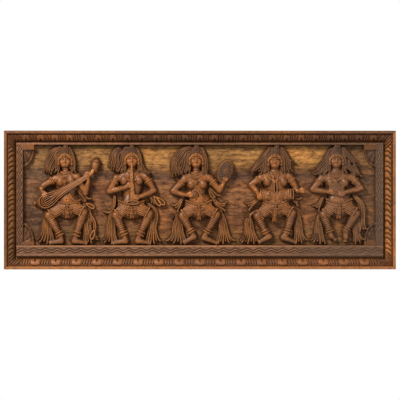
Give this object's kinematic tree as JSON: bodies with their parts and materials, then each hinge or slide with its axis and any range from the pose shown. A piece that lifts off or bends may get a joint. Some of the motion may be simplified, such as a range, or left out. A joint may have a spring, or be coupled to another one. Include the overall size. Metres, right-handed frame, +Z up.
{
  "type": "carved wall panel",
  "caption": "Long carved wooden wall panel: lady musicians in deep relief on a sunk ground, inside a leaf-carved moulding frame.",
  "frame": {"origin": "centre of the flat back face", "axes": "+X along the length, to the viewer's right; +Y out of the back, into the wall; +Z up"},
  "size_m": [1.22, 0.05, 0.432],
  "materials": {
    "carved_wood": "satin",
    "frame_wood": "satin"
  },
  "bodies": {
    "root": {"carved_panel": "carved_wood", "frame_rail_top": "frame_wood", "frame_rail_bottom": "frame_wood", "frame_stile_left": "frame_wood", "frame_stile_right": "frame_wood"}
  },
  "joints": []
}
